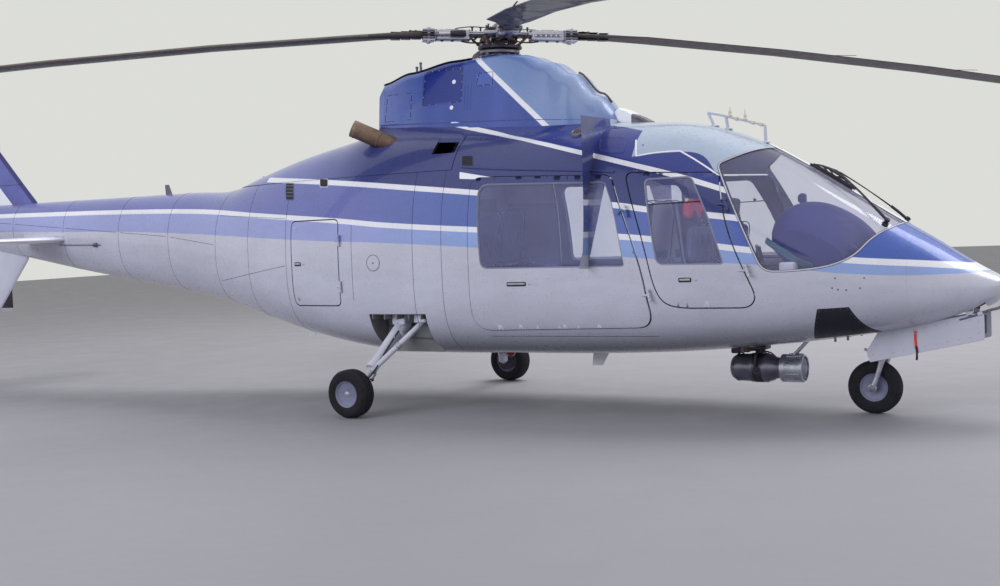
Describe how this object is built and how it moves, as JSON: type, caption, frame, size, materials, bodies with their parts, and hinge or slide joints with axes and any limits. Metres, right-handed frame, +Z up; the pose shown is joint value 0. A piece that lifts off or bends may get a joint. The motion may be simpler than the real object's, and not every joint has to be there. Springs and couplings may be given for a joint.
{
  "type": "light twin-engined helicopter",
  "caption": "Light twin-engined helicopter with four-blade rotor, wheeled tricycle gear, hinged doors and a search light",
  "frame": {"origin": "on the ground under the middle of the outer box, rotor blades included", "axes": "+X towards the nose, +Y towards the aircraft's left side, +Z up"},
  "size_m": [11.74, 8.897, 3.255],
  "materials": {
    "body_paint": "gloss silver-grey paint with white and blue bands",
    "blue_paint": "gloss dark blue paint",
    "white_paint": "gloss white paint",
    "blade_paint": "satin near-black erosion-resistant paint",
    "bright_metal": "machined and anodised, lightly worn",
    "dark_metal": "dark enamel, oily in the joints",
    "hot_metal": "heat-tinted steel, tan to brown",
    "tyre_rubber": "matt black rubber",
    "seat_fabric": "woven upholstery, blue-grey",
    "panel_plastic": "matt black instrument housing",
    "clear_glass": "clear curved transparency with a faint violet tint"
  },
  "bodies": {
    "airframe": {"fuselage_shell": "body_paint", "nose_cone": "body_paint", "windshield_right": "clear_glass", "windshield_left": "clear_glass", "engine_cowl": "body_paint", "mast_fairing": "blue_paint", "engines_and_gearbox": "dark_metal", "exhaust_right": "hot_metal", "exhaust_left": "hot_metal", "tail_boom": "body_paint", "tailplane": "white_paint", "upper_fin": "blue_paint", "lower_fin": "body_paint", "tail_gearbox": "dark_metal", "swashplate": "dark_metal", "crew_seat_right": "seat_fabric", "crew_seat_left": "seat_fabric", "cabin_seats_front": "seat_fabric", "cabin_seats_rear": "seat_fabric", "instrument_panel": "panel_plastic", "main_gear_leg_right": "body_paint", "main_gear_leg_left": "body_paint", "nose_gear_leg": "bright_metal", "nose_gear_door_right": "body_paint", "nose_gear_door_left": "body_paint", "search_light": "dark_metal"},
    "cockpit_door_right": {"cockpit_door_right": "body_paint", "cockpit_door_glass_right": "clear_glass"},
    "cabin_door_right": {"cabin_door_right": "body_paint", "cabin_door_glass_right": "clear_glass"},
    "main_wheel_right": {"main_wheel_right": "tyre_rubber"},
    "cockpit_door_left": {"cockpit_door_left": "body_paint", "cockpit_door_glass_left": "clear_glass"},
    "cabin_door_left": {"cabin_door_left": "body_paint", "cabin_door_glass_left": "clear_glass"},
    "main_wheel_left": {"main_wheel_left": "tyre_rubber"},
    "baggage_door_right": {"baggage_door_right": "body_paint"},
    "main_rotor": {"rotor_hub": "bright_metal", "rotor_blade_1": "blade_paint", "rotor_blade_2": "blade_paint", "rotor_blade_3": "blade_paint", "rotor_blade_4": "blade_paint"},
    "tail_rotor": {"tail_rotor": "blade_paint"},
    "nose_fork": {"nose_gear_fork": "bright_metal"},
    "nose_wheel": {"nose_wheel": "tyre_rubber"}
  },
  "joints": [
    {"name": "main_rotor_turn", "type": "hinge", "parent": "airframe", "child": "main_rotor", "pos_m": [1.44817, 0, 2.85], "axis": [0.0436, 0, 0.999], "continuous": true},
    {"name": "tail_rotor_turn", "type": "hinge", "parent": "airframe", "child": "tail_rotor", "pos_m": [-5.08183, 0.4, 1.7], "axis": [0, 1, 0], "continuous": true},
    {"name": "nose_gear_swivel", "type": "hinge", "parent": "airframe", "child": "nose_fork", "pos_m": [4.35317, 0, 0.44], "axis": [0, 0, 1], "range_deg": [-45, 45]},
    {"name": "nose_wheel_roll", "type": "hinge", "parent": "nose_fork", "child": "nose_wheel", "pos_m": [4.26817, 0, 0.18], "axis": [0, 1, 0], "continuous": true},
    {"name": "main_wheel_right_roll", "type": "hinge", "parent": "airframe", "child": "main_wheel_right", "pos_m": [0.72817, -1.15, 0.18], "axis": [0, 1, 0], "continuous": true},
    {"name": "cockpit_door_right_hinge", "type": "hinge", "parent": "airframe", "child": "cockpit_door_right", "pos_m": [3.70317, -0.7, 0.83], "axis": [-0.3204, 0.0816, 0.9438], "range_deg": [0, 70]},
    {"name": "cabin_door_right_hinge", "type": "hinge", "parent": "airframe", "child": "cabin_door_right", "pos_m": [3.02817, -0.738, 0.62], "axis": [-0.2699, 0.0234, 0.9626], "range_deg": [0, 85]},
    {"name": "main_wheel_left_roll", "type": "hinge", "parent": "airframe", "child": "main_wheel_left", "pos_m": [0.72817, 1.15, 0.18], "axis": [0, 1, 0], "continuous": true},
    {"name": "cockpit_door_left_hinge", "type": "hinge", "parent": "airframe", "child": "cockpit_door_left", "pos_m": [3.70317, 0.7, 0.83], "axis": [0.3204, 0.0816, -0.9438], "range_deg": [0, 70]},
    {"name": "cabin_door_left_hinge", "type": "hinge", "parent": "airframe", "child": "cabin_door_left", "pos_m": [3.02817, 0.738, 0.62], "axis": [0.2699, 0.0234, -0.9626], "range_deg": [0, 85]},
    {"name": "baggage_door_hinge", "type": "hinge", "parent": "airframe", "child": "baggage_door_right", "pos_m": [0.32817, -0.712, 1.135], "axis": [0, 0, 1], "range_deg": [0, 90]}
  ]
}
